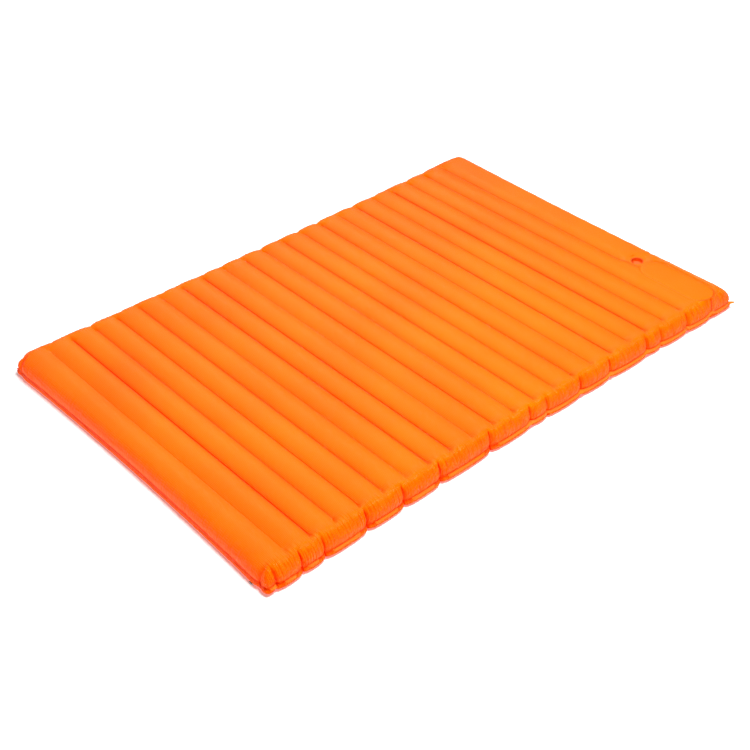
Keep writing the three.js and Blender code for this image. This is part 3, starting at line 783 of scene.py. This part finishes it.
class PAD_OT_envelope(bpy.types.Operator):
    """The two welded skins, inflated over their webs, with the openings for the pump and valves"""

    bl_idname = "pad.envelope"
    bl_label = "Inflated skins"

    def execute(self, context):
        sizes, colours = context.scene.pad_sizes, context.scene.pad_colours
        points, faces, seam, fields = envelope_mesh(sizes)
        envelope = mesh_object("skins", points, faces)
        STATE["seam"] = points[seam]
        inflate(envelope, fields["held"], fields["side"].clip(0, 1), MOST_MOVEMENT)
        for name in ("side", "end", "weld"):
            layer = envelope.data.attributes.new(name, "FLOAT", "POINT")
            layer.data.foreach_set("value", fields[name])
        x, half, low_y, high_y = pump_outline_box()
        tray_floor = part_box("pump_foam")[0].z - TRAY_GAP
        above, below = HEIGHT + CUT_SPARE, -CUT_SPARE
        cut(envelope, stadium_block("pump_cut", half, low_y, high_y, x, tray_floor, above))
        seat_low, seat_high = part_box("pump_intake_seat")
        centre = (seat_low + seat_high) / 2
        radius = (seat_high.x - seat_low.x) / 2 + FIT_GAP
        cut(envelope, round_block("intake_cut", radius, centre, INTAKE_CUT_BOTTOM, above))
        base_low, base_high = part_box("valve_base")
        centre = (base_low + base_high) / 2
        radius = (base_high.x - base_low.x) / 2 + FIT_GAP
        cut(envelope, round_block("valve_cut", radius, centre, below, VALVE_CUT_TOP))
        flap_low, flap_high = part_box("valve_flap")
        flap_radius = (flap_high.x - flap_low.x) / 2 + FLAP_CLEARANCE
        cut(envelope, round_block("flap_bore", flap_radius, (flap_low + flap_high) / 2, below, FLAP_BORE_TOP))
        smooth(envelope, 50)
        taffeta = coated_taffeta("coated_polyester_taffeta", colours.fabric, colours.fabric_deep)
        set_material(envelope, taffeta)
        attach(envelope, "pad")
        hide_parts("top_skin", "bottom_skin")
        return {"FINISHED"}


# The margin's reach past the seam at the ends, what it gains along the sides and at a point, and how far it
# is tucked in where it rolls under.
END_REACH, SIDE_REACH, TIP_REACH, ROLLED_REACH = 0.001, 0.0055, 0.016, 0.003
# How far it hangs at the ends, and what it gains along the sides.
END_SAG, SIDE_SAG = 0.004, 0.003
# Unevenness of its edge, and how often it and the seam's direction are smoothed.
EDGE_WAVE, WAVE_SMOOTHINGS, TURN_SMOOTHINGS = 0.0014, 10, 12
# Places across the margin, as shares of its reach.
MARGIN_SHARES = (-0.15, 0.5, 1)


class PAD_OT_weld_margin(bpy.types.Operator):
    """The flat welded edge outside the seam"""

    bl_idname = "pad.weld_margin"
    bl_label = "Weld margin"

    def execute(self, context):
        sizes, colours = context.scene.pad_sizes, context.scene.pad_colours
        seam = STATE["seam"]
        ahead, behind = np.roll(seam, -1, 0), np.roll(seam, 1, 0)
        along = (ahead - behind)[:, :2]
        outward = np.stack([along[:, 1], -along[:, 0]], -1)
        outward /= np.linalg.norm(outward, axis=1)[:, None]
        for _ in range(TURN_SMOOTHINGS):
            outward = (np.roll(outward, 1, 0) + 2 * outward + np.roll(outward, -1, 0)) / 4
        outward /= np.linalg.norm(outward, axis=1)[:, None]
        draws = np.random.default_rng(5)
        wave = draws.normal(0, 1, len(seam))
        for _ in range(WAVE_SMOOTHINGS):
            wave = (np.roll(wave, 1) + 2 * wave + np.roll(wave, -1)) / 4
        wave *= EDGE_WAVE / np.abs(wave).max()
        # The edge hangs down along the sides, is narrow at the ends, and points out at the pump's corners.
        diagonal = np.abs(outward[:, 0] * outward[:, 1]) * 2
        corner_share = np.where(seam[:, 0] < 0, np.where(seam[:, 1] < 0, 0, 0.3), 1)
        tip = corner_share * smoothstep(0.5, 1, diagonal) ** 2
        at_side = smoothstep(0.5, 0.9, np.abs(outward[:, 1]))
        # The corner at -X, -Y rolls the edge right under.
        rolled = np.where((seam[:, 0] < 0) & (seam[:, 1] < 0), smoothstep(0.15, 0.6, diagonal), 0)
        reach = END_REACH + SIDE_REACH * at_side + TIP_REACH * tip + wave * (0.3 + 0.7 * at_side)
        reach = reach * (1 - rolled) - ROLLED_REACH * rolled
        sag = (END_SAG + SIDE_SAG * at_side) * (1 - tip)
        half = sizes.fabric / 2
        rings = []
        section = [(share, half) for share in MARGIN_SHARES]
        section += [(share, -half) for share in MARGIN_SHARES[::-1]]
        for share, lift in section:
            ring = seam.copy()
            ring[:, :2] += outward * (reach * share)[:, None]
            ring[:, 2] += lift - sag * max(share, 0) ** 1.5
            rings.append(ring)
        n = len(seam)
        points = np.concatenate(rings)
        faces = []
        for r in range(len(rings)):
            s = (r + 1) % len(rings)
            faces += [(r * n + i, s * n + i, s * n + (i + 1) % n, r * n + (i + 1) % n) for i in range(n)]
        margin = mesh_object("weld_margin", points, faces)
        bm = bmesh.new()
        bm.from_mesh(margin.data)
        bmesh.ops.recalc_face_normals(bm, faces=bm.faces)
        bm.to_mesh(margin.data)
        bm.free()
        smooth(margin, 50)
        set_material(margin, coated_taffeta("welded_taffeta", colours.margin, colours.fabric, 0.5))
        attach(margin, "pad")
        return {"FINISHED"}


# Distance in from the panel's weld, and the share of its rise reached there.
PANEL_PROFILE = (
    (0.0002, 0), (0.0015, 0.02), (0.004, 0.2), (0.007, 0.45), (0.011, 0.68),
    (0.016, 0.84), (0.023, 0.94), (0.032, 1), (0.040, 1),
)
PANEL_TOP_Z = 0.0792
PANEL_FABRIC = 0.0006


class PAD_OT_pump_panel(bpy.types.Operator):
    """The crowned fabric over the pump's foam, welded round its edge"""

    bl_idname = "pad.pump_panel"
    bl_label = "Pump panel"

    def execute(self, context):
        x, half, low_y, high_y = pump_outline_box()
        rim_z, top_z = PUMP_RIM_Z - 0.0002, PANEL_TOP_Z
        rings = []
        for inset, rise in PANEL_PROFILE:
            outline = stadium_outline(half - inset, low_y + inset, high_y - inset, x, 28)
            rings.append([(px, py, rim_z + rise * (top_z - rim_z)) for px, py in outline])
        n = len(rings[0])
        points = [p for ring in rings for p in ring]
        faces = []
        for r in range(len(rings) - 1):
            a, b = r * n, (r + 1) * n
            faces += [(a + i, a + (i + 1) % n, b + (i + 1) % n, b + i) for i in range(n)]
        last = (len(rings) - 1) * n
        faces += [tuple(last + i for i in range(n))]
        panel = mesh_object("pump_panel_fabric", points, faces)
        solid = panel.modifiers.new("thickness", "SOLIDIFY")
        solid.thickness, solid.offset = PANEL_FABRIC, -1
        apply_modifiers(panel)
        smooth(panel, 60)
        set_material(panel, bpy.data.materials["coated_polyester_taffeta"])
        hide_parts("pump_panel")
        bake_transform(panel)
        return {"FINISHED"}


# The foam ends just under the fabric at the panel's rim.
FOAM_TOP_Z = 0.0755


class PAD_OT_pump_foam(bpy.types.Operator):
    """The pump's foam block at rest; the real foam shortens as the panel is trodden down, but this block does
    not
    """

    bl_idname = "pad.pump_foam"
    bl_label = "Pump foam"

    def execute(self, context):
        low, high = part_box("pump_foam")
        half = (high.x - low.x) / 2
        block = stadium_block("foam_block", half, low.y, high.y, (low.x + high.x) / 2, low.z, FOAM_TOP_Z)
        bevel = block.modifiers.new("edge", "BEVEL")
        bevel.width, bevel.segments, bevel.limit_method = 0.002, 2, "ANGLE"
        apply_modifiers(block)
        smooth(block, 40)
        set_material(block, open_foam("open_cell_foam", context.scene.pad_colours.foam))
        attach(block, "pad")
        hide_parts("pump_foam")
        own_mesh(block)
        return {"FINISHED"}


class PAD_OT_frame_finishes(bpy.types.Operator):
    """Finishes of the CAD parts that stay: webs, tray and valves"""

    bl_idname = "pad.frame_finishes"
    bl_label = "Webs, tray and valves"

    def execute(self, context):
        colours = context.scene.pad_colours
        inner = coated_taffeta("uncoated_taffeta", colours.inner, colours.fabric_deep, 0.6)
        grey = moulded_plastic("moulded_grey_tpu", colours.grey, 0.5, 0.4)
        orange = moulded_plastic("shaded_moulded_orange_tpu", colours.intake_orange_and_shade, 0.5, 0.4)
        silicone = moulded_plastic("silicone_rubber", colours.silicone, 0.55, 0.3)
        for name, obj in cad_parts.items():
            if name.startswith("web_") or name == "pump_tray":
                set_material(obj, inner)
            elif name.endswith("flap"):
                set_material(obj, silicone)
            # The intake's seat and cap are darkened: painted shade of their hollow.
            elif name in ("pump_intake_seat", "pump_intake_cap"):
                set_material(obj, orange)
            elif name.startswith("valve_") or name == "pump_outlet_seat":
                set_material(obj, grey)
        return {"FINISHED"}


# Softboxes: place and side in metres, and power in watts.
TOP_LIGHT = {"place": (0.1, -1.0, 3.6), "side": 1.8, "power": 275}
SHEEN_LIGHT = {"place": (3.2, 5.0, 5.4), "side": 2.4, "power": 720}
WORLD_STRENGTH = 0.14


class PAD_OT_stage(bpy.types.Operator):
    """Floor, soft lights and camera"""

    bl_idname = "pad.stage"
    bl_label = "Stage"

    def execute(self, context):
        stage, scene = context.scene.pad_stage, context.scene
        deselect()
        bpy.ops.mesh.primitive_plane_add(size=stage.floor, location=(0, 0, -0.0005))
        floor = context.object
        floor.name = "floor"
        set_material(floor, studio_paper("background_paper"))
        world = bpy.data.worlds.new("studio")
        scene.world = world
        world.use_nodes = True
        background = world.node_tree.nodes["Background"]
        background.inputs["Color"].default_value = (1, 1, 1, 1)
        background.inputs["Strength"].default_value = WORLD_STRENGTH
        self.softbox("top", **TOP_LIGHT)
        sheen = self.softbox("sheen", **SHEEN_LIGHT)
        # The far softbox only gives the satin its highlights.
        sheen.visible_diffuse = False
        camera = bpy.data.cameras.new("camera")
        camera.lens, camera.sensor_width = stage.lens, 36
        holder = bpy.data.objects.new("camera", camera)
        scene.collection.objects.link(holder)
        eye, aim = Vector(stage.eye), Vector(stage.aim)
        turn = (aim - eye).to_track_quat("-Z", "Y").to_matrix() @ Matrix.Rotation(stage.roll, 3, "Z")
        holder.matrix_world = Matrix.Translation(eye) @ turn.to_4x4()
        scene.camera = holder
        scene.view_settings.view_transform = "Standard"
        return {"FINISHED"}

    @staticmethod
    def softbox(name, place, side, power):
        """A square area light that faces the pad's middle."""
        light = bpy.data.lights.new(name, "AREA")
        light.shape, light.size, light.energy = "SQUARE", side, power
        holder = bpy.data.objects.new(name, light)
        bpy.context.scene.collection.objects.link(holder)
        place = Vector(place)
        turn = (-place).to_track_quat("-Z", "Y").to_matrix()
        holder.matrix_world = Matrix.Translation(place) @ turn.to_4x4()
        return holder


class PAD_PT_panel(bpy.types.Panel):
    """Lists the pad's pieces in the sidebar"""

    bl_label = "Sleeping Pad"
    bl_idname = "PAD_PT_panel"
    bl_space_type = "VIEW_3D"
    bl_region_type = "UI"
    bl_category = "Sleeping Pad"

    def draw(self, context):
        for group in (context.scene.pad_sizes, context.scene.pad_colours, context.scene.pad_stage):
            for name in group.__annotations__:
                self.layout.prop(group, name)
        for operator in OPERATORS:
            self.layout.operator(operator.bl_idname)


OPERATORS = (
    PAD_OT_envelope,
    PAD_OT_weld_margin,
    PAD_OT_pump_panel,
    PAD_OT_pump_foam,
    PAD_OT_frame_finishes,
    PAD_OT_stage,
)
CLASSES = (PadSizes, PadColours, StageSizes, *OPERATORS, PAD_PT_panel)


def register():
    for kind in CLASSES:
        bpy.utils.register_class(kind)
    bpy.types.Scene.pad_sizes = PointerProperty(type=PadSizes)
    bpy.types.Scene.pad_colours = PointerProperty(type=PadColours)
    bpy.types.Scene.pad_stage = PointerProperty(type=StageSizes)


def unregister():
    del bpy.types.Scene.pad_stage
    del bpy.types.Scene.pad_colours
    del bpy.types.Scene.pad_sizes
    for kind in reversed(CLASSES):
        bpy.utils.unregister_class(kind)


def main():
    """Builds the pad and its stage."""
    register()
    for operator in OPERATORS:
        group, name = operator.bl_idname.split(".")
        getattr(getattr(bpy.ops, group), name)()


if __name__ == "__main__":
    main()
